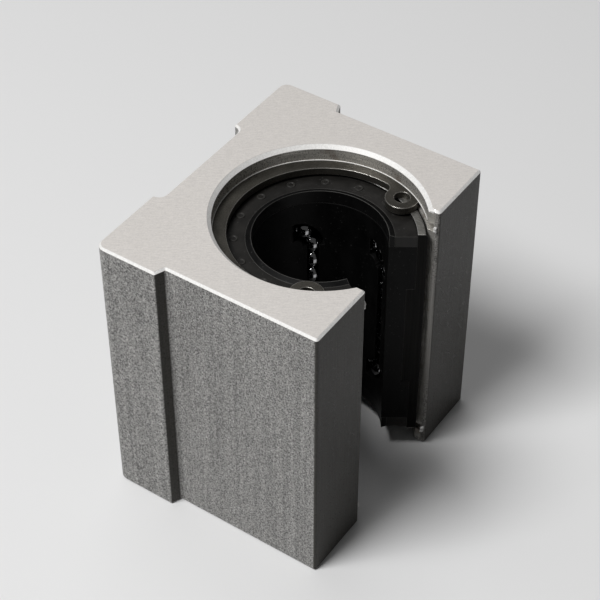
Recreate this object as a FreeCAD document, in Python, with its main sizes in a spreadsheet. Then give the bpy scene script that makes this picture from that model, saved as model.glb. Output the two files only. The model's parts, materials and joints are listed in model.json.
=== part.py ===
import FreeCAD, Part
import math
import os
import re

import Sketcher
from FreeCAD import Placement, Rotation, Vector

# An open linear ball-bearing block for a 20 mm shaft. +Z runs along the shaft, +X across the
# block and +Y from the open slot to the mounting face. The origin lies on the shaft's axis, at
# the middle of the block's length.

DRIVING_SIZES = {
    # extruded housing
    "block_length": 50.0,
    "flange_width": 48.0,
    "flange_thickness": 10.8,
    "flange_step": 1.75,
    "axis_to_mounting_face": 23.0,
    "axis_to_slot_face": 14.4,
    "slot_width": 20.0,
    "recess_width": 20.4,
    "recess_depth": 1.5,
    "recess_fillet": 1.2,
    "foot_edge_fillet": 0.5,
    "corner_fillet": 1.6,
    "step_drop": 0.7,
    "step_outer_fillet": 0.4,
    "step_inner_fillet": 0.15,
    "slot_face_fillet": 0.45,
    "slot_edge_fillet": 0.5,
    "end_face_chamfer": 0.35,
    "bore_chamfer": 0.6,
    # mounting holes, at the drilled diameter that the thread is cut in
    "bolt_spacing_across": 35.0,
    "bolt_spacing_along": 35.0,
    "bolt_drill_diameter": 5.0,
    "bolt_hole_depth": 12.0,
    # screw that stops the bushing turning
    "screw_diameter": 4.2,
    "screw_sink": 1.2,
    "screw_tip_diameter": 2.6,
    "screw_tip_length": 1.0,
    "screw_head_chamfer": 0.3,
    "screw_socket_width": 2.0,
    "screw_socket_depth": 2.2,
    "screw_tip_gap": 0.05,
    "thread_gap": 0.02,
    # retaining rings
    "ring_thickness": 1.2,
    "ring_side_gap": 0.05,
    "ring_groove_depth": 0.85,
    "ring_back_width": 3.1,
    "ring_lug_end_width": 1.7,
    "ring_lug_diameter": 5.2,
    "ring_lug_hole_diameter": 2.5,
    "ring_lug_angle": 64.0,
    "ring_shoulder_fillet": 1.2,
    # open bushing
    "shaft_diameter": 20.0,
    "bushing_diameter": 32.0,
    "bushing_length": 42.0,
    "bushing_opening_angle": 68.0,
    "bushing_fit_gap": 0.02,
    "bushing_edge_chamfer": 0.4,
    # ball circuits
    "ball_diameter": 3.175,
    "ball_gap": 0.02,
    "loaded_angle_by_slot": 56.5,
    "loaded_angle_by_back": 129.5,
    "return_angle_step": 28.0,
    "return_row_rise": 1.12,
    "row_length": 20.0,
    "track_gap": 0.1,
    "end_relief_margin": 0.08,
    # resin retainer
    "retainer_shaft_gap": 0.2,
    "retainer_sleeve_gap": 0.04,
    # end rings, pressed into the sleeve, and the seals inside them
    "end_ring_thickness": 2.0,
    "end_ring_shaft_gap": 1.15,
    "end_ring_fit_gap": 0.02,
    "end_ring_recess": 0.45,
    "seal_lip_height": 0.35,
    "seal_shaft_gap": 0.25,
}

# Sizes that follow from the driving ones.
DERIVED_SIZES = {
    "body_width": "flange_width - 2 * flange_step",
    "half_block": "block_length / 2",
    "half_bushing": "bushing_length / 2",
    "half_row": "row_length / 2",
    "half_opening": "bushing_opening_angle / 2",
    "shaft_radius": "shaft_diameter / 2",
    "ball_radius": "ball_diameter / 2",
    "sleeve_radius": "bushing_diameter / 2",
    "bore_radius": "sleeve_radius + bushing_fit_gap",
    "step_height": "axis_to_mounting_face - flange_thickness",
    "step_foot": "step_height - step_drop",
    "recess_floor": "axis_to_mounting_face - recess_depth",
    "race_radius": "shaft_radius + ball_diameter + ball_gap",
    "loaded_row_radius": "shaft_radius + ball_radius + ball_gap / 2",
    "return_row_radius": "loaded_row_radius + return_row_rise",
    "track_radius": "ball_radius + track_gap",
    "sleeve_relief_radius": "return_row_radius + track_radius + end_relief_margin",
    "retainer_inner_radius": "shaft_radius + retainer_shaft_gap",
    "retainer_outer_radius": "race_radius - retainer_sleeve_gap",
    "ring_groove_radius": "bore_radius + ring_groove_depth",
    "ring_low": "half_bushing + ring_side_gap",
    "ring_high": "ring_low + ring_thickness",
    "ring_groove_low": "ring_low - ring_side_gap",
    "ring_groove_high": "ring_high + ring_side_gap",
    "ring_outer_radius": "ring_groove_radius - bushing_fit_gap",
    "lug_centre_radius": "ring_outer_radius - ring_lug_diameter / 2",
    "end_ring_outer_radius": "sleeve_relief_radius - end_ring_fit_gap",
    "end_ring_inner_radius": "shaft_radius + end_ring_shaft_gap",
    "end_ring_high": "half_bushing - end_ring_recess",
    "end_ring_low": "end_ring_high - end_ring_thickness",
    "seal_inner_radius": "shaft_radius + seal_shaft_gap",
    "seal_outer_radius": "end_ring_inner_radius - end_ring_fit_gap",
    "seal_high": "end_ring_high + seal_lip_height",
    "retainer_half_length": "end_ring_low",
    "retainer_collar_radius": "sleeve_relief_radius - retainer_sleeve_gap",
    "retainer_collar_foot": "half_row + retainer_sleeve_gap",
    # a chamfer wider than the smallest rounding beside it would fold over itself
    "end_chamfer": "min(end_face_chamfer; slot_edge_fillet * 0.8; foot_edge_fillet * 0.8)",
    "far_beyond": "block_length + flange_width",
}

SAME_PLACE = 1e-4  # mm, within which two edges or corners are at one place
SMALLEST_STEP = 1e-6  # mm or mm3, below which a change counts as none

doc = FreeCAD.newDocument("linear_bearing_block")
sheet = doc.addObject("Spreadsheet::Sheet", "sizes")


def fill_sheet():
    """Write one row for each size: its name, then its value or formula under that alias."""
    rows = list(DRIVING_SIZES.items()) + list(DERIVED_SIZES.items())
    for number, (name, content) in enumerate(rows, start=1):
        sheet.set(f"A{number}", name)
        sheet.setAlias(f"B{number}", name)
        is_formula = name in DERIVED_SIZES
        sheet.set(f"B{number}", f"={content}" if is_formula else str(content))
    doc.recompute()


def value(expression):
    """The number that an expression in the sheet's names stands for."""
    return float(sheet.evalExpression(expression))


def bound(expression):
    """The same expression, as an object outside the sheet has to write it."""
    def with_sheet(match):
        word = match.group()
        return f"sizes.{word}" if word in DRIVING_SIZES or word in DERIVED_SIZES else word

    return re.sub(r"[A-Za-z_]\w*", with_sheet, expression)


def bind(thing, **properties):
    """Bind an object's properties to expressions in the sheet's names."""
    for name, expression in properties.items():
        thing.setExpression(name.replace("__", "."), bound(expression))
    return thing


# --- PartDesign helpers -------------------------------------------------------------------

def origin_feature(body, role):
    return next(part for part in body.Origin.OriginFeatures if part.Role == role)


def new_sketch(body, name, plane, offset="0"):
    sketch = body.newObject("Sketcher::SketchObject", name)
    sketch.AttachmentSupport = [(origin_feature(body, plane), "")]
    sketch.MapMode = "FlatFace"
    bind(sketch, AttachmentOffset__Base__z=offset)
    return sketch


def fix_point(sketch, geometry, point, across, up):
    """Hold one sketch point at bound distances from the sketch's origin."""
    for kind, axis, expression in (("DistanceX", -2, across), ("DistanceY", -1, up)):
        distance = value(expression)
        if abs(distance) < SMALLEST_STEP:
            sketch.addConstraint(Sketcher.Constraint("PointOnObject", geometry, point, axis))
            continue
        if distance > 0:
            ends = (-1, 1, geometry, point)
        else:
            ends = (geometry, point, -1, 1)
            expression = f"-({expression})"
        index = sketch.addConstraint(Sketcher.Constraint(kind, *ends, abs(distance)))
        sketch.setExpression(f"Constraints[{index}]", bound(expression))


def add_outline(sketch, corners):
    """Add a closed outline of straight lines through corners given as pairs of expressions."""
    points = [Vector(value(across), value(up), 0) for across, up in corners]
    first = sketch.GeometryCount
    count = len(points)
    for index in range(count):
        sketch.addGeometry(Part.LineSegment(points[index], points[(index + 1) % count]), False)
    for index in range(count):
        follower = first + (index + 1) % count
        sketch.addConstraint(Sketcher.Constraint("Coincident", first + index, 2, follower, 1))
    for index, (across, up) in enumerate(corners):
        fix_point(sketch, first + index, 1, across, up)


def add_circle(sketch, radius, across="0", up="0"):
    centre = Vector(value(across), value(up), 0)
    index = sketch.addGeometry(Part.Circle(centre, Vector(0, 0, 1), value(radius)), False)
    fix_point(sketch, index, 3, across, up)
    size = sketch.addConstraint(Sketcher.Constraint("Radius", index, value(radius)))
    sketch.setExpression(f"Constraints[{size}]", bound(radius))


def extrude(body, kind, name, sketch, length, symmetric=False, reverse=False):
    feature = body.newObject(f"PartDesign::{kind}", name)
    feature.Profile = sketch
    feature.SideType = "Symmetric" if symmetric else "One side"
    feature.Reversed = reverse
    return bind(feature, Length=length)


def revolve(body, kind, name, sketch, axis):
    feature = body.newObject(f"PartDesign::{kind}", name)
    feature.Profile = sketch
    feature.ReferenceAxis = (origin_feature(body, axis), [""])
    feature.Angle = 360
    return feature


def must_remove(body, feature, volume_before):
    """Stop where a cut points away from the solid and takes nothing from it."""
    doc.recompute()
    if not feature.Shape.Volume < volume_before - SMALLEST_STEP:
        raise RuntimeError(f"{body.Label}: {feature.Name} cuts nothing")


def cut_body(body, name, sketch, length, symmetric=True, reverse=False):
    doc.recompute()
    before = body.Shape.Volume
    feature = extrude(body, "Pocket", name, sketch, length, symmetric, reverse)
    must_remove(body, feature, before)
    return feature


def cut_round(body, name, corners):
    """Turn a groove about the shaft's axis from its outline."""
    sketch = new_sketch(body, f"{name}Outline", "XZ_Plane")
    add_outline(sketch, corners)
    doc.recompute()
    before = body.Shape.Volume
    feature = revolve(body, "Groove", name, sketch, "Z_Axis")
    must_remove(body, feature, before)


def dress(body, kind, name, wanted, **properties):
    """Fillet or chamfer the edges of the body for which wanted(edge) is true."""
    doc.recompute()
    base = body.Tip
    edges = [f"Edge{i}" for i, edge in enumerate(base.Shape.Edges, 1) if wanted(edge)]
    feature = body.newObject(f"PartDesign::{kind}", name)
    feature.Base = (base, edges)
    return bind(feature, **properties)


def stands_at(edge, x, y):
    """Is the edge an upright line at this distance from the middle plane and this Y?"""
    ends = [vertex.Point for vertex in edge.Vertexes]
    if len(ends) != 2 or abs(ends[0].z - ends[1].z) < SAME_PLACE:
        return False
    return all(abs(abs(p.x) - x) < SAME_PLACE and abs(p.y - y) < SAME_PLACE for p in ends)


# --- Part helpers -------------------------------------------------------------------------

def cylinder(name, radius, low, high, across="0", up="0"):
    """An upright cylinder between two heights, its axis at (across, up)."""
    tool = doc.addObject("Part::Cylinder", name)
    bind(tool, Radius=radius, Height=f"({high}) - ({low})", Placement__Base__x=across,
         Placement__Base__y=up, Placement__Base__z=low)
    return tool


def opening_wedge(name, half_angle, low, high):
    """The sector about the slot, wider than everything that it cuts."""
    wedge = doc.addObject("Part::Cylinder", name)
    bind(wedge, Radius="flange_width", Height=f"({high}) - ({low})", Angle=f"2 * ({half_angle})",
         Placement__Base__z=low)
    wedge.Placement.Rotation = Rotation(Vector(0, 0, 1), -90 - value(half_angle))
    return wedge


def cut(name, base, tools):
    result = doc.addObject("Part::Cut", name)
    result.Base = base
    if len(tools) == 1:
        result.Tool = tools[0]
    else:
        joined = doc.addObject("Part::MultiFuse", f"{name}_tools")
        joined.Shapes = tools
        result.Tool = joined
    return result


def fuse(name, pieces):
    result = doc.addObject("Part::MultiFuse", name)
    result.Shapes = pieces
    return result


def label(thing, name):
    thing.Label = name
    return thing


# --- housing ------------------------------------------------------------------------------

def make_housing():
    body = doc.addObject("PartDesign::Body", "Housing")
    outline = new_sketch(body, "HousingOutline", "XY_Plane")
    right = [
        ("slot_width / 2", "-axis_to_slot_face"),
        ("body_width / 2", "-axis_to_slot_face"),
        ("body_width / 2", "step_foot"),
        ("flange_width / 2", "step_height"),
        ("flange_width / 2", "axis_to_mounting_face"),
        ("recess_width / 2", "axis_to_mounting_face"),
        ("recess_width / 2", "recess_floor"),
    ]
    left = [(f"-({across})", up) for across, up in reversed(right)]
    slot_end = [("-slot_width / 2", "0"), ("slot_width / 2", "0")]
    add_outline(outline, right + left + slot_end)
    extrude(body, "Pad", "Extrusion", outline, "block_length", symmetric=True)

    def upright_at(width, height):
        return lambda edge: stands_at(edge, value(width) / 2, value(height))

    dress(body, "Fillet", "SlotFaceCorners", upright_at("body_width", "-axis_to_slot_face"),
          Radius="slot_face_fillet")
    dress(body, "Fillet", "MountingCorners", upright_at("flange_width", "axis_to_mounting_face"),
          Radius="corner_fillet")
    dress(body, "Fillet", "StepOuterEdges", upright_at("flange_width", "step_height"),
          Radius="step_outer_fillet")
    dress(body, "Fillet", "StepInnerEdges", upright_at("body_width", "step_foot"),
          Radius="step_inner_fillet")
    dress(body, "Fillet", "RecessFloorEdges", upright_at("recess_width", "recess_floor"),
          Radius="recess_fillet")
    dress(body, "Fillet", "FootEdges", upright_at("recess_width", "axis_to_mounting_face"),
          Radius="foot_edge_fillet")
    dress(body, "Fillet", "SlotEdges", upright_at("slot_width", "-axis_to_slot_face"),
          Radius="slot_edge_fillet")

    half_block = value("half_block")

    def on_end(edge):
        heights = [vertex.Z for vertex in edge.Vertexes]
        is_level = max(heights) - min(heights) < SAME_PLACE
        return is_level and abs(abs(heights[0]) - half_block) < SAME_PLACE

    dress(body, "Chamfer", "EndFaceEdges", on_end, Size="end_chamfer")

    bore = new_sketch(body, "BoreCircle", "XY_Plane")
    add_circle(bore, "bore_radius")
    cut_body(body, "Bore", bore, "far_beyond")

    for side, sign in (("Upper", ""), ("Lower", "-")):
        cut_round(body, f"{side}RingGroove", [
            ("shaft_radius", f"{sign}ring_groove_low"),
            ("ring_groove_radius", f"{sign}ring_groove_low"),
            ("ring_groove_radius", f"{sign}ring_groove_high"),
            ("shaft_radius", f"{sign}ring_groove_high"),
        ])
        cut_round(body, f"{side}BoreChamfer", [
            ("shaft_radius", f"{sign}(half_block - bore_chamfer)"),
            ("bore_radius", f"{sign}(half_block - bore_chamfer)"),
            ("bore_radius + bore_chamfer", f"{sign}half_block"),
            ("shaft_radius", f"{sign}half_block"),
        ])

    bolts = new_sketch(body, "BoltCentres", "XZ_Plane", "-axis_to_mounting_face")
    for x_sign in ("", "-"):
        for z_sign in ("", "-"):
            add_circle(bolts, "bolt_drill_diameter / 2", f"{x_sign}bolt_spacing_across / 2",
                       f"{z_sign}bolt_spacing_along / 2")
    doc.recompute()
    before = body.Shape.Volume
    holes = body.newObject("PartDesign::Hole", "MountingHoles")
    holes.Profile = bolts
    holes.Reversed = True
    holes.DepthType = "Dimension"
    holes.DrillPoint = "Flat"
    bind(holes, Diameter="bolt_drill_diameter", Depth="bolt_hole_depth")
    must_remove(body, holes, before)

    screw_hole = new_sketch(body, "ScrewHoleCircle", "YZ_Plane")
    add_circle(screw_hole, "screw_diameter / 2")
    cut_body(body, "ScrewHole", screw_hole, "flange_width", symmetric=False, reverse=True)
    return label(body, "housing_block")


# --- screw that locates the bushing -------------------------------------------------------

def make_set_screw():
    body = doc.addObject("PartDesign::Body", "SetScrew")
    profile = new_sketch(body, "ScrewProfile", "XZ_Plane")
    thread_radius = "screw_diameter / 2 - thread_gap"
    seat = "bore_radius + thread_gap"
    tip = f"{seat} - screw_tip_length"
    head = "body_width / 2 - screw_sink"
    add_outline(profile, [
        (tip, "0"),
        (tip, "screw_tip_diameter / 2"),
        (seat, "screw_tip_diameter / 2"),
        (seat, thread_radius),
        (f"{head} - screw_head_chamfer", thread_radius),
        (head, f"{thread_radius} - screw_head_chamfer"),
        (head, "0"),
    ])
    revolve(body, "Revolution", "ScrewTurning", profile, "X_Axis")

    socket = new_sketch(body, "SocketHexagon", "YZ_Plane", head)
    corner_radius = "screw_socket_width / (2 * cos(30))"
    add_outline(socket, [
        (f"{corner_radius} * cos({turn})", f"{corner_radius} * sin({turn})")
        for turn in range(0, 360, 60)
    ])
    cut_body(body, "HexSocket", socket, "screw_socket_depth", symmetric=False)
    return label(body, "set_screw")


# --- bushing ------------------------------------------------------------------------------

def row_angles():
    """Angles from the slot of the loaded and the return row, for each circuit."""
    angles = []
    for side in ("", "-"):
        for loaded in ("loaded_angle_by_slot", "loaded_angle_by_back"):
            angles.append((f"{side}{loaded}", f"{side}({loaded} + return_angle_step)"))
    return angles


def polar(radius, angle):
    """Expressions of the point at this radius and this angle from the slot's middle."""
    return f"{radius} * sin({angle})", f"-{radius} * cos({angle})"


def make_sleeve():
    turning = doc.addObject("PartDesign::Body", "SleeveTurning")
    profile = new_sketch(turning, "SleeveProfile", "XZ_Plane")
    upper = [
        ("race_radius", "half_row"),
        ("sleeve_relief_radius", "half_row"),
        ("sleeve_relief_radius", "half_bushing"),
        ("sleeve_radius - bushing_edge_chamfer", "half_bushing"),
        ("sleeve_radius", "half_bushing - bushing_edge_chamfer"),
    ]
    lower = [(across, f"-({up})") for across, up in reversed(upper)]
    add_outline(profile, upper + lower)
    revolve(turning, "Revolution", "SleeveRevolved", profile, "Z_Axis")

    tools = [opening_wedge("SleeveOpening", "half_opening", "-half_block", "half_block")]
    for number, (_, returning) in enumerate(row_angles(), 1):
        across, up = polar("return_row_radius", returning)
        tools.append(cylinder(f"ReturnRelief{number}", "track_radius", "-half_row", "half_row",
                              across, up))
    screw_hole = doc.addObject("Part::Cylinder", "SleeveScrewHole")
    bind(screw_hole, Radius="screw_tip_diameter / 2 + screw_tip_gap",
         Height="screw_tip_length + screw_tip_gap", Placement__Base__x=(
             "bore_radius + thread_gap - screw_tip_length - screw_tip_gap"))
    screw_hole.Placement.Rotation = Rotation(Vector(0, 1, 0), 90)
    tools.append(screw_hole)
    return label(cut("Sleeve", turning, tools), "outer_sleeve")


def circuit_frame(loaded, returning):
    """Centre of a circuit, half the distance between its rows, and the unit vector across."""
    ends = []
    for radius, angle in (("loaded_row_radius", loaded), ("return_row_radius", returning)):
        across, up = polar(radius, angle)
        ends.append(Vector(value(across), value(up), 0))
    middle = (ends[0] + ends[1]) * 0.5
    half_width = (ends[1] - ends[0]).Length / 2
    return middle, half_width, (ends[1] - ends[0]).normalize()


def make_track(number, loaded, returning):
    """The channel of one circuit: two round rows, joined at each end by a flat-floored bend."""
    pieces = []
    for row, radius, angle in (("Loaded", "loaded_row_radius", loaded),
                               ("Return", "return_row_radius", returning)):
        across, up = polar(radius, angle)
        pieces.append(cylinder(f"{row}Track{number}", "track_radius", "-half_row", "half_row",
                               across, up))
    middle, half_width, across = circuit_frame(loaded, returning)
    for end, name in ((1, "Upper"), (-1, "Lower")):
        along = Vector(0, 0, end)
        outward = across.cross(along)
        handed = math.copysign(1, outward.dot(middle))
        outward *= handed
        start = middle + along * value("half_row") - outward * value("track_radius")
        axes = Rotation(across * handed, along, outward, "XYZ")
        bend = doc.addObject("Part::Cylinder", f"{name}Bend{number}")
        post = doc.addObject("Part::Cylinder", f"{name}Post{number}")
        bend.Radius = half_width + value("track_radius")
        post.Radius = half_width - value("track_radius")
        for disc in (bend, post):
            bind(disc, Height="ball_diameter + track_radius")
            disc.Angle = 180
            disc.Placement = Placement(start, axes)
        pieces.append(cut(f"{name}Channel{number}", bend, [post]))
    return fuse(f"Track{number}", pieces)


def make_retainer():
    ends = ("-retainer_half_length", "retainer_half_length")
    barrel = cylinder("RetainerBarrel", "retainer_outer_radius", *ends)
    # a collar at each end fills the sleeve's relief, and the bends of the tracks run through it
    collars = [
        cylinder("RetainerUpperCollar", "retainer_collar_radius", "retainer_collar_foot", ends[1]),
        cylinder("RetainerLowerCollar", "retainer_collar_radius", ends[0],
                 "-retainer_collar_foot"),
    ]
    outside = fuse("RetainerOutside", [barrel] + collars)
    inside = cylinder("RetainerInside", "retainer_inner_radius", "-half_block", "half_block")
    wedge = opening_wedge("RetainerOpening", "half_opening", "-half_block", "half_block")
    tracks = [make_track(number, *rows) for number, rows in enumerate(row_angles(), 1)]
    tube = cut("RetainerTube", outside, [inside, wedge])
    return label(cut("Retainer", tube, tracks), "ball_retainer")


def end_piece(name, node, corners, upper):
    """An open ring at one end of the bushing, turned from a profile and cut at the slot."""
    turning = doc.addObject("PartDesign::Body", f"{name}Turning")
    profile = new_sketch(turning, f"{name}Profile", "XZ_Plane")
    sign = "" if upper else "-"
    add_outline(profile, [(across, f"{sign}({up})") for across, up in corners])
    revolve(turning, "Revolution", f"{name}Revolved", profile, "Z_Axis")
    wedge = opening_wedge(f"{name}Opening", "half_opening", "-half_block", "half_block")
    return label(cut(name, turning, [wedge]), node)


def make_bushing_end(end, upper):
    """The end ring at one end of the bushing, and the shaft seal inside it."""
    ring = [
        ("end_ring_inner_radius", "end_ring_low"),
        ("end_ring_outer_radius", "end_ring_low"),
        ("end_ring_outer_radius", "end_ring_high"),
        ("end_ring_inner_radius", "end_ring_high"),
    ]
    seal = [
        ("seal_inner_radius", "end_ring_low"),
        ("seal_outer_radius", "end_ring_low"),
        ("seal_outer_radius", "end_ring_high"),
        ("seal_inner_radius", "seal_high"),
    ]
    return [
        end_piece(f"EndRing{end}", f"end_ring_{end}", ring, upper),
        end_piece(f"Seal{end}", f"shaft_seal_{end}", seal, upper),
    ]


# --- balls --------------------------------------------------------------------------------

# flat sides about a ball's axis and bands along it: the loaded balls, open to view, have more
BALL_FACETS = {"loaded": (8, 4), "returning": (6, 3)}


def make_ball(centre, along, sides, bands):
    """A ball with flat facets whose corners all lie on the sphere."""
    radius = value("ball_radius")
    frame = Rotation(Vector(0, 0, 1), along)

    def corner(band, side):
        tilt = math.pi * band / bands
        turn = 2 * math.pi * side / sides
        ring = radius * math.sin(tilt)
        point = Vector(ring * math.cos(turn), ring * math.sin(turn), radius * math.cos(tilt))
        return centre + frame.multVec(point)

    faces = []
    for band in range(bands):
        for side in range(sides):
            points = [corner(band, side), corner(band + 1, side),
                      corner(band + 1, side + 1), corner(band, side + 1)]
            if band == 0:
                points.pop()
            if band == bands - 1:
                points.pop(1)
            faces.append(Part.Face(Part.makePolygon(points + points[:1])))
    return Part.Solid(Part.Shell(faces))


def circuit_point(distance, middle, half_width, across):
    """Place and direction at a distance along a circuit, from the middle of its loaded row."""
    half_row = value("half_row")
    up = Vector(0, 0, 1)
    turn_length = math.pi * half_width
    if distance < half_row:
        return middle - across * half_width + up * distance, up
    distance -= half_row
    if distance < turn_length:
        angle = distance / half_width
        spoke = across * -math.cos(angle) + up * math.sin(angle)
        heading = across * math.sin(angle) + up * math.cos(angle)
        return middle + up * half_row + spoke * half_width, heading
    distance -= turn_length
    if distance < 2 * half_row:
        return middle + across * half_width + up * (half_row - distance), up * -1
    distance -= 2 * half_row
    if distance < turn_length:
        angle = distance / half_width
        spoke = across * math.cos(angle) - up * math.sin(angle)
        heading = across * -math.sin(angle) - up * math.cos(angle)
        return middle - up * half_row + spoke * half_width, heading
    distance -= turn_length
    return middle - across * half_width + up * (distance - half_row), up


def ball_distances(middle, half_width, across):
    """Distances along a circuit of balls that all but touch, as many as it has room for."""
    length = 4 * value("half_row") + 2 * math.pi * half_width
    pitch = value("ball_diameter + ball_gap")

    def gap_between(one, other):
        start = circuit_point(one, middle, half_width, across)[0]
        return (circuit_point(other, middle, half_width, across)[0] - start).Length

    distances = [0.0]
    while True:
        # on a bend two balls touch a little further on than they do on a straight
        near, far = distances[-1], distances[-1] + 1.5 * pitch
        while far - near > SMALLEST_STEP:
            halfway = (near + far) / 2
            if gap_between(distances[-1], halfway) < pitch:
                near = halfway
            else:
                far = halfway
        if far > length - pitch:
            return distances
        distances.append(far)


def make_circuit_balls(number, loaded, returning):
    """Two groups of balls that fill one circuit: those under load, and those on the way back."""
    middle, half_width, across = circuit_frame(loaded, returning)
    groups = {"loaded": [], "returning": []}
    for distance in ball_distances(middle, half_width, across):
        centre, heading = circuit_point(distance, middle, half_width, across)
        on_loaded_row = (centre - middle).dot(across) < -half_width + SMALLEST_STEP
        group = "loaded" if on_loaded_row else "returning"
        groups[group].append(make_ball(centre, heading, *BALL_FACETS[group]))
    nodes = []
    for group, balls in groups.items():
        feature = doc.addObject("Part::Feature", f"{group.capitalize()}Balls{number}")
        feature.Shape = Part.makeCompound(balls)
        feature.Placement = Placement()
        nodes.append(label(feature, f"{group}_balls_{number}"))
    return nodes


# --- retaining rings ----------------------------------------------------------------------

def make_retaining_ring(end, upper):
    """An internal ring, narrow at its eyed lugs and wide at its back."""
    low, high = ("ring_low", "ring_high") if upper else ("-ring_high", "-ring_low")
    name = f"Ring{end}"
    outer = cylinder(f"{name}Outer", "ring_outer_radius", low, high)
    # the inner circle is moved towards the slot, so the ring's width tapers evenly
    shift = "(ring_back_width - ring_lug_end_width) / 2"
    radius = "ring_outer_radius - (ring_back_width + ring_lug_end_width) / 2"
    inner = cylinder(f"{name}Inner", radius, low, high, up=f"-({shift})")
    gap = opening_wedge(f"{name}Gap", "ring_lug_angle", low, high)
    lugs = []
    holes = []
    for side in ("", "-"):
        across, up = polar("lug_centre_radius", f"{side}ring_lug_angle")
        tag = "Right" if not side else "Left"
        lugs.append(cylinder(f"{name}{tag}Lug", "ring_lug_diameter / 2", low, high, across, up))
        holes.append(cylinder(f"{name}{tag}Eye", "ring_lug_hole_diameter / 2", low, high,
                              across, up))
    arc = cut(f"{name}Arc", outer, [inner, gap])
    whole = fuse(f"{name}Whole", [arc] + lugs)
    shoulders = doc.addObject("Part::Fillet", f"{name}Shoulders")
    shoulders.Base = whole
    doc.recompute()
    fillet = value("ring_shoulder_fillet")
    shoulders.Edges = [(number, fillet, fillet) for number in inner_corners(whole.Shape)]
    return label(cut(name, shoulders, holes), f"retaining_ring_{end}")


def inner_corners(shape):
    """The numbers of the two upright edges nearest the bore axis, one each side."""
    nearest = {}
    for number, edge in enumerate(shape.Edges, 1):
        corners = [vertex.Point for vertex in edge.Vertexes]
        if len(corners) != 2 or (corners[0].x, corners[0].y) != (corners[1].x, corners[1].y):
            continue
        side = corners[0].x > 0
        reach = math.hypot(corners[0].x, corners[0].y)
        nearest[side] = min(nearest.get(side, (reach, number)), (reach, number))
    return [number for _, number in nearest.values()]


# --- checks and files ---------------------------------------------------------------------

def check(nodes):
    for thing in doc.Objects:
        if {"Invalid", "Error"} & set(thing.State):
            raise RuntimeError(f"{thing.Name} failed to recompute: {thing.State}")
    for node in nodes:
        shape = node.Shape
        if shape.isNull() or not shape.isValid() or not shape.Solids:
            raise RuntimeError(f"{node.Label} has no valid solid")


def main():
    fill_sheet()
    nodes = [make_housing(), make_set_screw(), make_sleeve(), make_retainer()]
    for end, upper in (("front", True), ("rear", False)):
        nodes += make_bushing_end(end, upper)
        nodes.append(make_retaining_ring(end, upper))
    for number, rows in enumerate(row_angles(), 1):
        nodes += make_circuit_balls(number, *rows)
    doc.recompute()
    check(nodes)
    os.makedirs("parts", exist_ok=True)
    for node in nodes:
        node.Shape.exportStep(f"parts/{node.Label}.step")
        print(f"{node.Label}: {len(node.Shape.Solids)} solids, {node.Shape.Volume:.2f} mm3")


main()
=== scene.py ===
import json
import math

import bmesh
import bpy
from mathutils import Matrix, Vector, noise

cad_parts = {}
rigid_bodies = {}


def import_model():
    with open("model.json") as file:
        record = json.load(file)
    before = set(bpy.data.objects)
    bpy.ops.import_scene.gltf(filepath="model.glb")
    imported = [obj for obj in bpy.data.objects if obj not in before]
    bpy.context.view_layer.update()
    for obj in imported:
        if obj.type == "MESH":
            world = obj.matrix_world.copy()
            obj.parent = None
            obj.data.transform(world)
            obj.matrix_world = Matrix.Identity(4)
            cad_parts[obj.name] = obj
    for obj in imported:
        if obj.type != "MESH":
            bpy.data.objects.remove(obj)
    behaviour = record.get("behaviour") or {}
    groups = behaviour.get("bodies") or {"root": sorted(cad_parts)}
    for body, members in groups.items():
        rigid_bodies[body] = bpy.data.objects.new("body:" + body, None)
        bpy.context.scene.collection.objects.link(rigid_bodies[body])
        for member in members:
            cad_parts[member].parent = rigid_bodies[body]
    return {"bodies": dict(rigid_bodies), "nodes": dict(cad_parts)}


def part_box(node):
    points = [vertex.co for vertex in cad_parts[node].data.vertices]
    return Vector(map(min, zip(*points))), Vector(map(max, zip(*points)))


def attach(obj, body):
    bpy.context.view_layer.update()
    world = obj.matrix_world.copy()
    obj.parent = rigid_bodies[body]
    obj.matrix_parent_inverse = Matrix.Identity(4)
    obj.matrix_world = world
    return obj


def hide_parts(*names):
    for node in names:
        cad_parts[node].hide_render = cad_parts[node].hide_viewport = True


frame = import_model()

MM = 0.001  # metres in a millimetre
BODY = "root"

frame_things = [*frame["bodies"].values(), *frame["nodes"].values()]
kept_names = {thing.name for thing in frame_things}
for thing in list(bpy.data.objects):
    if thing.name not in kept_names:
        bpy.data.objects.remove(thing)
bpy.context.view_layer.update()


# ---------------------------------------------------------------- places, in millimetres

# The boxes are in metres.
block_low, block_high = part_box("housing_block")
ring_low, ring_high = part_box("retaining_ring_front")
_, end_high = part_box("end_ring_front")

HALF_LENGTH = block_high.z / MM
MOUNTING_FACE = block_high.y / MM
SLOT_FACE = block_low.y / MM
FLANGE_STEP = 1.75
FLANGE_THICKNESS = 10.8
BODY_SIDE = block_high.x / MM - FLANGE_STEP
FLANGE_UNDERSIDE = MOUNTING_FACE - FLANGE_THICKNESS
BROKEN_EDGE_DEPTH = 0.35  # of the chamfer round the outside of an end face
BORE_RADIUS = 16.02
CHAMFER_RADIUS = 16.62  # the bore's chamfer, where it meets the end face
CHAMFER_DEPTH = 0.6
GROOVE_RADIUS = ring_high.x / MM
RING_MIDDLE = (ring_low.z + ring_high.z) / 2 / MM
RING_TOP = ring_high.z / MM
END_RING_TOP = end_high.z / MM
SLEEVE_END = END_RING_TOP + 0.45  # the sleeve stands out past the end ring
SLOT_WALL_REACH = 10.3  # the slot's walls lie within this of its middle
SLOT_WALL_START = -12.4  # and beyond this, towards the slot face
SLOT_CORNER_REACH = 11.8  # the slot's corners, painted lighter as a highlight, lie within this of its middle
SLOT_CORNER_DEPTH = 1.2
PITTING_START = 8.0  # height from the middle at which the corners' lines turn to pits


# ---------------------------------------------------------------- node graphs

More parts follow.
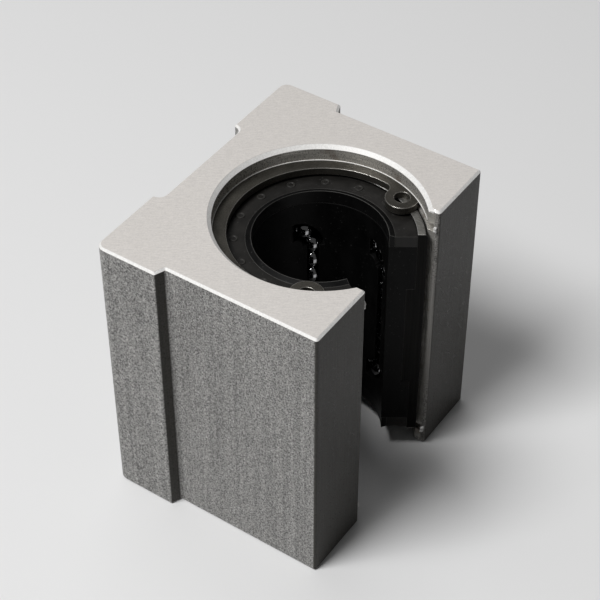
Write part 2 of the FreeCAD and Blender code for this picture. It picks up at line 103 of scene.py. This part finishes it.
class Graph:
    """The node graph of one material. Each method adds nodes and returns their output."""

    BEVEL_SAMPLES = 6
    EDGE_LEAN = (0.01, 0.12)  # how far a rounded normal leans where the edges' wear and painted highlight start and are full

    def __init__(self, name, **constants):
        self.material = bpy.data.materials.new(name)
        self.material.use_nodes = True
        self.nodes = self.material.node_tree.nodes
        self.shader = self.nodes["Principled BSDF"]
        self.finish(**constants)
        metres = self.nodes.new("ShaderNodeTexCoord").outputs["Object"]
        self.place = self.vector("SCALE", metres, scale=1 / MM)
        self.x, self.y, self.z = self.add("ShaderNodeSeparateXYZ", Vector=self.place).outputs
        self.radius = self.vector("LENGTH", self.vector("MULTIPLY", self.place, (1, 1, 0)))
        self.height = self.math("ABSOLUTE", self.z)

    def put(self, socket, value):
        """Link or set one input. A colour of three numbers gets its fourth."""
        if isinstance(value, bpy.types.NodeSocket):
            self.material.node_tree.links.new(value, socket)
        elif isinstance(value, tuple) and len(socket.default_value) > len(value):
            socket.default_value = (*value, 1)
        else:
            socket.default_value = value

    def add(self, kind, **sockets):
        """A node with these inputs. An underscore in a name stands for a space."""
        node = self.nodes.new(kind)
        for name, value in sockets.items():
            self.put(node.inputs[name.replace("_", " ")], value)
        return node

    def math(self, operation, *values, clamp=False):
        node = self.nodes.new("ShaderNodeMath")
        node.operation = operation
        node.use_clamp = clamp
        for socket, value in zip(node.inputs, values):
            self.put(socket, value)
        return node.outputs[0]

    def vector(self, operation, *values, scale=None):
        node = self.nodes.new("ShaderNodeVectorMath")
        node.operation = operation
        for socket, value in zip(node.inputs, values):
            self.put(socket, value)
        if scale is not None:
            self.put(node.inputs["Scale"], scale)
        is_number = operation in ("LENGTH", "DOT_PRODUCT")
        return node.outputs["Value" if is_number else "Vector"]

    def stretched(self, stretch=(1, 1, 1), turn=0.0):
        """The place turned about Z by an angle in radians, then squeezed along each axis."""
        turned = self.add("ShaderNodeVectorRotate", Vector=self.place, Angle=turn)
        return self.vector("MULTIPLY", turned.outputs["Vector"], stretch)

    def noise(self, scale, detail=2.0, roughness=0.5, stretch=(1, 1, 1), turn=0.0):
        """Cloudy grey, mostly 0.3 to 0.7, with about this many patterns a millimetre."""
        node = self.add("ShaderNodeTexNoise", Vector=self.stretched(stretch, turn),
                        Scale=scale, Detail=detail, Roughness=roughness)
        return node.outputs["Fac"]

    def cells(self, scale):
        """A random grey per cell, with about this many cells a millimetre."""
        node = self.add("ShaderNodeTexVoronoi", Vector=self.stretched(), Scale=scale)
        return self.add("ShaderNodeSeparateColor", Color=node.outputs["Color"]).outputs[0]

    def between(self, value, low, high, to_low=0.0, to_high=1.0):
        """Value run from low..high to to_low..to_high, held at both ends."""
        node = self.add("ShaderNodeMapRange", Value=value, From_Min=low, From_Max=high,
                        To_Min=to_low, To_Max=to_high)
        return node.outputs[0]

    def beyond(self, value, limit, blur):
        """0 up to the limit and 1 from limit + blur on."""
        return self.between(value, limit, limit + blur)

    def inside(self, value, limit, blur):
        """1 up to the limit and 0 from limit + blur on."""
        return self.between(value, limit + blur, limit)

    def step(self, mask, a, b):
        """Number a where the mask is 0 and b where it is 1."""
        return self.between(mask, 0.0, 1.0, a, b)

    def vary(self, pattern, low=0.0, high=1.0, spread=0.2):
        """A noise's range, 0.5 -+ spread, run to low..high."""
        return self.between(pattern, 0.5 - spread, 0.5 + spread, low, high)

    def both(self, a, b):
        """Where both masks are 1, or a mask weakened by a number."""
        return self.math("MULTIPLY", a, b)

    def either(self, a, b):
        return self.math("MAXIMUM", a, b)

    def outside(self, mask):
        return self.math("SUBTRACT", 1.0, mask, clamp=True)

    def blend(self, mask, a, b, strength=None):
        """Colour a where the mask is 0 and b, or a share of it, where the mask is 1."""
        if strength is not None:
            mask = self.both(mask, strength)
        node = self.nodes.new("ShaderNodeMix")
        node.data_type = "RGBA"
        factor, colour_a, colour_b = node.inputs[0], node.inputs[6], node.inputs[7]
        self.put(factor, mask)
        self.put(colour_a, a)
        self.put(colour_b, b)
        return node.outputs[2]

    def mottle(self, colour, pattern, amount, spread=0.2):
        """The colour with its brightness 1 -+ amount times as high, after a noise."""
        brightness = self.vary(pattern, 1 - amount, 1 + amount, spread)
        return self.vector("SCALE", colour, scale=brightness)

    def rounded(self, radius):
        """The normal with edges rounded by a radius in millimetres, and 1 along the edges."""
        node = self.add("ShaderNodeBevel", Radius=radius * MM)
        node.samples = self.BEVEL_SAMPLES
        smooth = node.outputs["Normal"]
        flat = self.nodes.new("ShaderNodeNewGeometry").outputs["Normal"]
        lean = self.outside(self.vector("DOT_PRODUCT", smooth, flat))
        return smooth, self.between(lean, *self.EDGE_LEAN)

    def bump(self, height, distance, normal):
        """Height, 0 to 1, raised by distance in millimetres."""
        node = self.add("ShaderNodeBump", Height=height, Strength=1.0, Distance=distance * MM,
                        Normal=normal)
        self.put(self.shader.inputs["Normal"], node.outputs["Normal"])

    def finish(self, **sockets):
        """The material, with these inputs of its shader linked or set."""
        for name, value in sockets.items():
            self.put(self.shader.inputs[name.replace("_", " ")], value)
        return self.material


# ---------------------------------------------------------------- finishes

# Linear colours.
BLASTED = (0.39, 0.383, 0.372)
# Painted highlight: bright specks painted into the blasted sides' colour stand in for the
# sparkle of light off the blast's grains.
PAINTED_GLINT = (0.85, 0.85, 0.83)
MILLED = (0.66, 0.63, 0.60)
# Bare metal of the broken edges and chamfers, painted near white as a highlight as well.
BROKEN_EDGE_HIGHLIGHT = (0.88, 0.87, 0.85)
TURNED = (0.58, 0.56, 0.52)
STAIN = (0.16, 0.10, 0.06)
# Slot walls and faces: a die-lined finish, painted far darker than the blasted sides as
# painted shade.
SHADED_DRAWN = (0.078, 0.074, 0.066)
# The slot's rounded corners: a painted highlight, lighter than the painted shade beside them.
CORNER_HIGHLIGHT = (0.3, 0.29, 0.275)
BLACKENED = (0.007, 0.0067, 0.0063)
GROUND = (0.24, 0.235, 0.22)
# Painted highlight along the edges of the sleeve's ground ends.
GROUND_EDGE_HIGHLIGHT = (0.72, 0.71, 0.69)
DUST = (0.2, 0.2, 0.2)
# Chrome steel painted darker than it is, as shade of the cavity the balls sit in.
SHADED_CHROME_DARK = (0.36, 0.36, 0.37)
SHADED_CHROME_LIGHT = (0.44, 0.44, 0.44)


def housing_masks(g):
    """Where the housing's ends, broken edges, bore, die-lined walls and slot corners are; the
    walls carry painted shade and the corners a painted highlight.
    """
    across = g.math("ABSOLUTE", g.x)
    on_end = g.beyond(g.height, HALF_LENGTH - 0.02, blur=0.01)
    off_end = g.outside(on_end)

    # The chamfer and broken edge round each end; their bright colour is partly bare machined
    # metal and partly a painted highlight.
    near_end = g.beyond(g.height, HALF_LENGTH - BROKEN_EDGE_DEPTH - 0.02, blur=0.03)
    on_chamfer = g.both(g.inside(g.radius, CHAMFER_RADIUS + 0.04, blur=0.06),
                        g.beyond(g.height, HALF_LENGTH - CHAMFER_DEPTH - 0.04, blur=0.04))
    edge = g.both(g.either(near_end, on_chamfer), off_end)

    near_bore = g.inside(g.radius, GROOVE_RADIUS + 0.05, blur=0.1)
    bore = g.both(g.both(near_bore, off_end), g.outside(on_chamfer))

    # The slot's walls and face and the flange's underside, with the extrusion's die lines;
    # they face away from the lamps and are painted dark as painted shade.
    slot_wall = g.both(g.inside(across, SLOT_WALL_REACH, blur=0.15),
                       g.inside(g.y, SLOT_WALL_START, blur=0.4))
    slot_face = g.inside(g.y, SLOT_FACE + 0.3, blur=0.2)
    under_flange = g.both(g.beyond(across, BODY_SIDE + 0.1, blur=0.15),
                          g.inside(g.y, FLANGE_UNDERSIDE - 0.05, blur=0.1))
    shaded_drawn = g.both(g.either(g.either(slot_wall, slot_face), under_flange), off_end)

    # The slot's rounded corners, where the key light falls, painted lighter as a painted
    # highlight.
    off_slot_face = g.beyond(g.y, SLOT_FACE + 0.02, blur=0.1)
    slot_corner_highlight = g.both(g.inside(g.y, SLOT_FACE + SLOT_CORNER_DEPTH, blur=0.4),
                         g.inside(across, SLOT_CORNER_REACH, blur=0.2))
    slot_corner_highlight = g.both(g.both(slot_corner_highlight, off_slot_face), shaded_drawn)
    return on_end, edge, bore, shaded_drawn, slot_corner_highlight


def housing_finish():
    """Sandblasted sides with painted sparkle, milled ends, broken edges painted bright as
    highlights, turned bore, die-lined slot walls painted dark as shade.
    """
    g = Graph("blasted_aluminium", Specular_IOR_Level=0.2)
    # The rounded edges, which get wear and a painted highlight.
    normal, wear_and_highlight = g.rounded(0.1)
    on_end, edge, bore, shaded_drawn, slot_corner_highlight = housing_masks(g)
    blasted = g.outside(g.either(g.either(on_end, bore), edge))

    grain = g.noise(3.9, roughness=0.6)
    clouds = g.noise(0.9)
    # Painted highlight: a share of cells painted near white as sparkle, also made glossier.
    painted_glints = g.between(g.cells(5.0), 0.86, 1.0)
    die_lines = g.noise(1.0, stretch=(1.6, 1.6, 0.035))
    fine_lines = g.noise(1.0, roughness=0.6, stretch=(9.0, 9.0, 0.05))
    cutter_marks = g.noise(1.0, detail=3.0, roughness=0.6, stretch=(0.7, 5.5, 1.0), turn=0.97)
    cutter_dots = g.noise(4.5)
    tool_rings = g.noise(1.0, stretch=(0.15, 0.15, 9.0))
    stains = g.between(g.noise(0.33, detail=3.0, roughness=0.6), 0.56, 0.7)

    side_colour = g.mottle(BLASTED, grain, 0.7, spread=0.18)
    side_colour = g.mottle(side_colour, die_lines, 0.16)
    side_colour = g.mottle(side_colour, clouds, 0.08)
    side_colour = g.blend(painted_glints, side_colour, PAINTED_GLINT, strength=0.5)
    end_colour = g.mottle(MILLED, cutter_marks, 0.1, spread=0.25)
    end_colour = g.mottle(end_colour, cutter_dots, 0.06)
    bore_colour = g.mottle(TURNED, tool_rings, 0.2)
    bore_colour = g.blend(stains, bore_colour, STAIN, strength=0.45)
    # Painted shade: the slot walls, slot face and flange underside are painted far darker than
    # the blasted sides.
    shaded_drawn_colour = g.mottle(SHADED_DRAWN, fine_lines, 0.22)
    shaded_drawn_colour = g.mottle(shaded_drawn_colour, grain, 0.3)
    # Painted highlight along the slot's corners: fine lines low down, pits higher up.
    lined = g.mottle(CORNER_HIGHLIGHT, fine_lines, 0.45)
    pitted = g.mottle(CORNER_HIGHLIGHT, grain, 0.65, spread=0.16)
    corner_highlight_colour = g.blend(g.beyond(g.height, PITTING_START, blur=7.0), lined, pitted)
    shaded_drawn_colour = g.blend(slot_corner_highlight, shaded_drawn_colour, corner_highlight_colour)

    colour = g.blend(shaded_drawn, side_colour, shaded_drawn_colour)
    colour = g.blend(bore, colour, bore_colour)
    # Painted highlight: every rounded edge outside the bore and each end's chamfer is painted
    # near white; part is wear and bare metal, part stands in for the light they catch.
    colour = g.blend(g.both(wear_and_highlight, g.outside(bore)), colour, BROKEN_EDGE_HIGHLIGHT, strength=0.7)
    colour = g.blend(edge, colour, g.mottle(BROKEN_EDGE_HIGHLIGHT, grain, 0.1))
    colour = g.blend(on_end, colour, end_colour)

    rough = g.vary(grain, 0.48, 0.62)
    for place, polish in ((g.both(painted_glints, blasted), 0.2), (shaded_drawn, 0.12), (bore, 0.25),
                          (on_end, 0.1)):
        rough = g.math("SUBTRACT", rough, g.both(place, polish))

    relief = g.both(g.both(grain, blasted), g.outside(g.both(shaded_drawn, 0.6)))
    for pattern, place, depth in ((fine_lines, shaded_drawn, 0.5), (tool_rings, bore, 0.25),
                                  (cutter_marks, on_end, 0.05)):
        relief = g.math("ADD", relief, g.both(g.both(pattern, place), depth))
    g.bump(relief, 0.13, normal)

    metallic = g.math("SUBTRACT", g.step(bore, 0.12, 0.6), g.both(shaded_drawn, 0.1))
    return g.finish(Base_Color=colour, Roughness=rough, Metallic=metallic)


def metal_finish(name, dark, light, wear_and_highlight, rough, grain_scale, relief, metallic,
                 edge_radius=0.09):
    """Metal whose tone and gloss wander with its grain, with another colour at its edges:
    wear, brightened as a painted highlight.
    """
    g = Graph(name, Metallic=metallic)
    normal, edge = g.rounded(edge_radius)
    grain = g.noise(grain_scale, detail=3.0, roughness=0.6)
    patches = g.noise(0.35)
    colour = g.blend(g.vary(grain), dark, light)
    colour = g.mottle(colour, patches, 0.15)
    colour = g.blend(g.both(edge, g.vary(grain, 0.25, 0.75)), colour, wear_and_highlight)
    g.bump(grain, relief, normal)
    return g.finish(Base_Color=colour, Roughness=g.vary(patches, *rough))


def sleeve_finish():
    """Hardened, blackened steel whose ends are ground bright, with a painted highlight along
    their edges.
    """
    g = Graph("sleeve_blackened_steel", Specular_IOR_Level=0.04)
    normal, edge = g.rounded(0.2)
    on_end = g.beyond(g.height, SLEEVE_END - 0.1, blur=0.05)
    grinding = g.noise(1.0, detail=3.0, roughness=0.6, stretch=(5.0, 0.8, 1.0))
    drawing = g.noise(1.0, stretch=(5.0, 5.0, 0.1))
    wall_colour = g.mottle(BLACKENED, drawing, 0.4)
    colour = g.blend(on_end, wall_colour, g.mottle(GROUND, grinding, 0.3))
    # Painted highlight: the edges of the ground ends, and faintly those of the walls, are
    # painted near white.
    colour = g.blend(g.both(edge, g.step(on_end, 0.05, 0.9)), colour, GROUND_EDGE_HIGHLIGHT)
    g.bump(drawing, 0.004, normal)
    return g.finish(Base_Color=colour, Roughness=g.vary(grinding, 0.3, 0.42),
                    Metallic=g.step(on_end, 0.05, 0.8))


def moulded_finish(name, dark, light, wear_and_highlight, rough, grain_scale, gloss):
    """Moulded resin or rubber: a fine eroded texture with slight flow marks, and edges of a
    lighter colour for wear and a painted highlight.
    """
    g = Graph(name, Specular_IOR_Level=gloss)
    normal, edge = g.rounded(0.16)
    grain = g.noise(grain_scale, detail=3.0, roughness=0.65)
    flow = g.noise(0.5, stretch=(1, 1, 0.4))
    dust = g.between(g.cells(6.0), 0.985, 1.0)
    colour = g.blend(g.vary(flow), dark, light)
    colour = g.blend(dust, colour, DUST, strength=0.15)
    colour = g.blend(edge, colour, wear_and_highlight)
    g.bump(grain, 0.012, normal)
    return g.finish(Base_Color=colour, Roughness=g.vary(flow, *rough))


def ball_finish():
    """Lapped bearing balls with the faintest haze of oil, their chrome painted darker as shade
    of the cavity they sit in.
    """
    g = Graph("ball_chrome", Metallic=1.0)
    haze = g.noise(1.1)
    colour = g.blend(g.vary(haze), SHADED_CHROME_DARK, SHADED_CHROME_LIGHT)
    return g.finish(Base_Color=colour, Roughness=g.vary(haze, 0.04, 0.09))


housing = housing_finish()
sleeve = sleeve_finish()
chrome = ball_finish()
# The rings' near-white edge colour is mostly a painted highlight, partly wear through the
# phosphate.
ring_steel = metal_finish(
    "ring_phosphate", dark=(0.05, 0.047, 0.040), light=(0.095, 0.089, 0.077),
    wear_and_highlight=(0.8, 0.78, 0.73), rough=(0.26, 0.36), grain_scale=4.5, relief=0.012, metallic=0.7,
    edge_radius=0.2)
burnished = metal_finish(
    "burnished_aluminium", dark=(0.74, 0.73, 0.71), light=(0.9, 0.89, 0.87),
    wear_and_highlight=(0.9, 0.9, 0.9), rough=(0.35, 0.5), grain_scale=3.0, relief=0.02, metallic=0.2)
screw_steel = metal_finish(
    "screw_black_oxide", dark=(0.03, 0.03, 0.03), light=(0.06, 0.058, 0.055),
    wear_and_highlight=(0.4, 0.39, 0.37), rough=(0.3, 0.42), grain_scale=3.0, relief=0.008, metallic=0.7)
ring_resin = moulded_finish(
    "end_ring_resin", dark=(0.009, 0.0085, 0.0078), light=(0.016, 0.015, 0.0138),
    wear_and_highlight=(0.06, 0.058, 0.054), rough=(0.34, 0.46), grain_scale=5.0, gloss=0.2)
# The retainer's black resin, painted darker still as shade of the inside of the bore.
resin = moulded_finish(
    "retainer_resin", dark=(0.0015, 0.0015, 0.0015), light=(0.0035, 0.0035, 0.0035),
    wear_and_highlight=(0.008, 0.008, 0.008), rough=(0.4, 0.55), grain_scale=5.0, gloss=0.08)
# The seal's light edge colour is a painted highlight more than wear.
rubber = moulded_finish(
    "seal_black_rubber", dark=(0.003, 0.003, 0.003), light=(0.006, 0.006, 0.006),
    wear_and_highlight=(0.12, 0.118, 0.112), rough=(0.36, 0.46), grain_scale=3.0, gloss=0.1)

NODE_FINISHES = {
    "housing_block": housing,
    "outer_sleeve": sleeve,
    "retaining_ring_front": ring_steel,
    "retaining_ring_rear": ring_steel,
    "set_screw": screw_steel,
    "ball_retainer": resin,
    "end_ring_front": ring_resin,
    "end_ring_rear": ring_resin,
    "shaft_seal_front": rubber,
    "shaft_seal_rear": rubber,
}
for node_name, finish in NODE_FINISHES.items():
    for material_slot in frame["nodes"][node_name].material_slots:
        material_slot.material = finish


# ---------------------------------------------------------------- pieces, built in millimetres

SHARP_ANGLE = 35  # degrees between faces from which their edge is sharp


def add_piece(name, shape, finish):
    """A piece of the object made from a bmesh, shaded smooth across its gentle edges."""
    bmesh.ops.recalc_face_normals(shape, faces=shape.faces)
    shape.transform(Matrix.Scale(MM, 4))
    mesh = bpy.data.meshes.new(name)
    shape.to_mesh(mesh)
    shape.free()
    mesh.materials.append(finish)
    for face in mesh.polygons:
        face.use_smooth = True
    mesh.set_sharp_from_angle(angle=math.radians(SHARP_ANGLE))
    piece = bpy.data.objects.new(name, mesh)
    bpy.context.scene.collection.objects.link(piece)
    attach(piece, BODY)
    return piece


def add_skin(shape, sections, is_tube=True):
    """Faces from each row of points to the next, with the first and last rows capped."""
    rows = [[shape.verts.new(point) for point in section] for section in sections]
    shape.faces.new(rows[0])
    for row, next_row in zip(rows, rows[1:]):
        for i in range(len(row) if is_tube else len(row) - 1):
            j = (i + 1) % len(row)
            shape.faces.new((row[i], row[j], next_row[j], next_row[i]))
    shape.faces.new(rows[-1][::-1])


def direction(angle):
    """The level direction at an angle in radians from X."""
    return Vector((math.cos(angle), math.sin(angle), 0))


def full_turn(count):
    """Equal angles round a full turn."""
    return [2 * math.pi * i / count for i in range(count)]


# Balls

def loose_parts(node_name):
    """The corners of each separate solid of a CAD node, as lists of points."""
    shape = bmesh.new()
    shape.from_mesh(frame["nodes"][node_name].data)
    bmesh.ops.remove_doubles(shape, verts=shape.verts, dist=0.001 * MM)
    parts, seen = [], set()
    for start in shape.verts:
        if start in seen:
            continue
        part, to_visit = [], [start]
        seen.add(start)
        while to_visit:
            corner = to_visit.pop()
            part.append(corner.co / MM)
            for edge in corner.link_edges:
                other = edge.other_vert(corner)
                if other not in seen:
                    seen.add(other)
                    to_visit.append(other)
        parts.append(part)
    shape.free()
    return parts


def make_balls(node_name):
    """Smooth balls where the CAD node has its many-sided ones."""
    shape = bmesh.new()
    for corners in loose_parts(node_name):
        centre = sum(corners, Vector()) / len(corners)
        radius = max((corner - centre).length for corner in corners)
        bmesh.ops.create_uvsphere(shape, u_segments=28, v_segments=18, radius=radius,
                                  matrix=Matrix.Translation(centre))
    piece = add_piece("smooth_" + node_name, shape, chrome)
    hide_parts(node_name)


for number in range(1, 5):
    make_balls(f"loaded_balls_{number}")
    make_balls(f"returning_balls_{number}")


# Threads of the mounting holes

HOLE_OFFSET = 17.5  # of each mounting hole from the middle, both ways
HOLE_RADIUS = 2.5
THREAD_START = 0.4  # below the mounting face
THREAD_LENGTH = 10.5
THREAD_PITCH = 1.0
THREAD_RISE = 0.24
THREAD_PROFILE = ((-0.42, -0.02), (-0.08, 1.0), (0.08, 1.0), (0.42, -0.02))  # pitches, rises
THREAD_FADE = 0.5  # turns over which the ridge grows at each end
THREAD_END_WIDTH = 0.1  # as a share of the full width
STEPS_PER_TURN = 30


def make_thread(name, mouth, inward):
    """A thread's ridge on the wall of a hole that runs from mouth along inward."""
    turn_count = THREAD_LENGTH / THREAD_PITCH
    turned = inward.to_track_quat("Z", "Y").to_matrix()
    sections = []
    for step in range(int(turn_count * STEPS_PER_TURN) + 1):
        turn = step / STEPS_PER_TURN
        fade = min(1, turn / THREAD_FADE, (turn_count - turn) / THREAD_FADE)
        width = max(fade, THREAD_END_WIDTH)
        section = []
        for along, height in THREAD_PROFILE:
            point = direction(2 * math.pi * turn) * (HOLE_RADIUS - THREAD_RISE * height * fade)
            point.z = THREAD_PITCH * (turn + along * width + 0.5)
            section.append(mouth + turned @ point)
        sections.append(section)
    shape = bmesh.new()
    add_skin(shape, sections, is_tube=False)
    add_piece(name, shape, housing)


for number, (side, end) in enumerate([(-1, -1), (1, -1), (-1, 1), (1, 1)], 1):
    mouth = Vector((side * HOLE_OFFSET, MOUNTING_FACE - THREAD_START, end * HOLE_OFFSET))
    make_thread(f"mounting_thread_{number}", mouth, Vector((0, -1, 0)))


# Burrs and lips of the ring grooves

PATTERNS_PER_MM = 0.9  # how fast the noise that makes a burr or lip uneven changes
BURR_OFFSET = 9.78  # from the slot's middle
BURR_INSET = 0.5  # from the slot face
BURR_RADIUS = 0.42
BURR_HALF_HEIGHT = 0.72
BURR_LUMPS = 2.1  # noise patterns per radius
BURR_ROUGHNESS = 0.35
BURR_WAIST = 0.55  # the middle's width as a share of the ends'
BURR_FLARE = 2.2  # how fast it widens from there
LIP_THICKNESS = 0.075
LIP_UNEVENNESS = 0.25
LIP_OVERHANG = 0.03  # inwards from the bore
LIP_RISE = 0.05  # above the ring
LIP_HALF_GAP = 41  # degrees from the slot's middle
LIP_END = 0.3  # thickness of the ends as a share
LIP_TAPER = 40  # how fast the ends thicken along the lip
LIP_STEPS, LIP_SIDES = 220, 8


def make_burr(name, side, height, size):
    """The curled burr that the ring groove's cutter leaves where it breaks out at the slot."""
    shape = bmesh.new()
    bmesh.ops.create_icosphere(shape, subdivisions=4, radius=1.0)
    middle = Vector((side * BURR_OFFSET, SLOT_FACE + BURR_INSET, height))
    for corner in shape.verts:
        lump = noise.noise(corner.co * BURR_LUMPS + middle * PATTERNS_PER_MM)
        point = corner.co * (1 + BURR_ROUGHNESS * lump) * size
        flare = min(1, abs(corner.co.z) * BURR_FLARE)
        width = BURR_RADIUS * (BURR_WAIST + (1 - BURR_WAIST) * flare)
        corner.co = middle + Vector((point.x * width, point.y * width,
                                     point.z * BURR_HALF_HEIGHT))
    add_piece(name, shape, burnished)


def make_lip(name, radius, height):
    """The thin uneven lip round the edge of a ring groove, open at the slot."""
    start, sweep = math.radians(LIP_HALF_GAP - 90), math.radians(360 - 2 * LIP_HALF_GAP)
    sections = []
    for step in range(LIP_STEPS + 1):
        share = step / LIP_STEPS
        outward = direction(start + sweep * share)
        middle = outward * radius + Vector((0, 0, height))
        uneven = 1 + LIP_UNEVENNESS * noise.noise(middle * PATTERNS_PER_MM)
        taper = min(1, LIP_END + LIP_TAPER * min(share, 1 - share))
        size = LIP_THICKNESS * uneven * taper
        sections.append([middle + outward * size * math.cos(lean)
                         + Vector((0, 0, size * math.sin(lean)))
                         for lean in full_turn(LIP_SIDES)])
    shape = bmesh.new()
    add_skin(shape, sections)
    add_piece(name, shape, burnished)


make_burr("groove_burr_upper_near", -1, RING_MIDDLE, 1.0)
make_burr("groove_burr_upper_far", 1, RING_MIDDLE, 0.75)
make_burr("groove_burr_lower_near", -1, -RING_MIDDLE, 0.9)
make_burr("groove_burr_lower_far", 1, -RING_MIDDLE, 0.9)
for end_name, end in (("upper", 1), ("lower", -1)):
    make_lip(f"groove_lip_{end_name}", BORE_RADIUS - LIP_OVERHANG, end * (RING_TOP + LIP_RISE))


# Marks on the end rings

MARK_COUNT = 10
MARK_SPACING = 24  # degrees
FIRST_MARK = -18  # degrees from X
MARK_CIRCLE = 12.8  # radius that the marks stand on
MARK_PROFILE = ((0.42, 0.03), (0.48, 0.12), (0.62, 0.12), (0.72, -0.03))  # radius, rise
MARK_SIDES = 20


def make_ring_marks(name, face, end):
    """Raised circles that the mould's ejector pins leave round an end ring's face."""
    shape = bmesh.new()
    for mark in range(MARK_COUNT):
        angle = math.radians(mark * MARK_SPACING + FIRST_MARK)
        middle = direction(angle) * MARK_CIRCLE + Vector((0, 0, face))
        add_skin(shape, [[middle + direction(turn) * reach + Vector((0, 0, rise * end))
                          for turn in full_turn(MARK_SIDES)] for reach, rise in MARK_PROFILE])
    add_piece(name, shape, ring_resin)


make_ring_marks("end_ring_marks_upper", END_RING_TOP, 1)
make_ring_marks("end_ring_marks_lower", -END_RING_TOP, -1)


# ---------------------------------------------------------------- floor, light and camera

FLOOR_REACH = 4.0  # metres from the middle to each side
FLOOR_LIT = (0.12, 0.12, 0.12)  # what the floor sends back as light
FLOOR_SEEN = (0.80, 0.80, 0.80)  # what the camera and the reflections see
WORLD_COLOUR = (0.9, 0.9, 0.9, 1)
WORLD_STRENGTH = 0.09
CAMERA_AZIMUTH, CAMERA_ELEVATION, CAMERA_ROLL = -145.672, 43.165, -0.069  # degrees
CAMERA_PLACE = (-163.589, -108.097, 191.608)  # millimetres
CAMERA_VIEW = 19.391  # degrees across the picture
CAMERA_CLIP_START = 0.01  # metres


def add_floor():
    """A plain pale floor under the block."""
    corners = [(-FLOOR_REACH, -FLOOR_REACH, 0), (FLOOR_REACH, -FLOOR_REACH, 0),
               (FLOOR_REACH, FLOOR_REACH, 0), (-FLOOR_REACH, FLOOR_REACH, 0)]
    mesh = bpy.data.meshes.new("floor")
    mesh.from_pydata(corners, [], [(0, 1, 2, 3)])
    floor = bpy.data.objects.new("floor", mesh)
    floor.location.z = block_low.z
    bpy.context.scene.collection.objects.link(floor)
    g = Graph("pale_floor", Roughness=0.6, Specular_IOR_Level=0.2)
    ray = g.add("ShaderNodeLightPath").outputs
    seen = g.either(ray["Is Camera Ray"], ray["Is Glossy Ray"])
    mesh.materials.append(g.finish(Base_Color=g.blend(seen, FLOOR_LIT, FLOOR_SEEN)))


def add_light(name, place, size, power):
    """A square soft light that looks at the block's middle, in metres and watts."""
    lamp = bpy.data.lights.new(name, "AREA")
    lamp.size = size
    lamp.energy = power
    light = bpy.data.objects.new(name, lamp)
    light.location = place
    light.rotation_mode = "QUATERNION"
    light.rotation_quaternion = (-Vector(place)).to_track_quat("-Z", "Y")
    bpy.context.scene.collection.objects.link(light)


def add_world():
    """A dim, even surrounding that fills the shadows."""
    world = bpy.data.worlds.new("studio")
    bpy.context.scene.world = world
    world.use_nodes = True
    background = world.node_tree.nodes["Background"]
    background.inputs["Color"].default_value = WORLD_COLOUR
    background.inputs["Strength"].default_value = WORLD_STRENGTH


def add_camera():
    """The photograph's viewpoint: angles round the block, place and field of view."""
    azimuth, elevation = math.radians(CAMERA_AZIMUTH), math.radians(CAMERA_ELEVATION)
    back = direction(azimuth) * math.cos(elevation) + Vector((0, 0, math.sin(elevation)))
    camera = bpy.data.objects.new("camera", bpy.data.cameras.new("camera"))
    camera.data.angle = math.radians(CAMERA_VIEW)
    camera.data.clip_start = CAMERA_CLIP_START
    camera.location = Vector(CAMERA_PLACE) * MM
    level = (-back).to_track_quat("-Z", "Y").to_matrix()
    turn = Matrix.Rotation(math.radians(CAMERA_ROLL), 3, back) @ level
    camera.rotation_mode = "QUATERNION"
    camera.rotation_quaternion = turn.to_quaternion()
    bpy.context.scene.collection.objects.link(camera)
    bpy.context.scene.camera = camera


add_floor()
add_world()
add_light("key_light", place=(-0.41, 0.19, 0.78), size=0.34, power=7.3)
add_light("top_light", place=(0.25, 0.30, 0.85), size=0.5, power=1.2)
add_camera()

scene = bpy.context.scene
scene.view_settings.view_transform = "Standard"
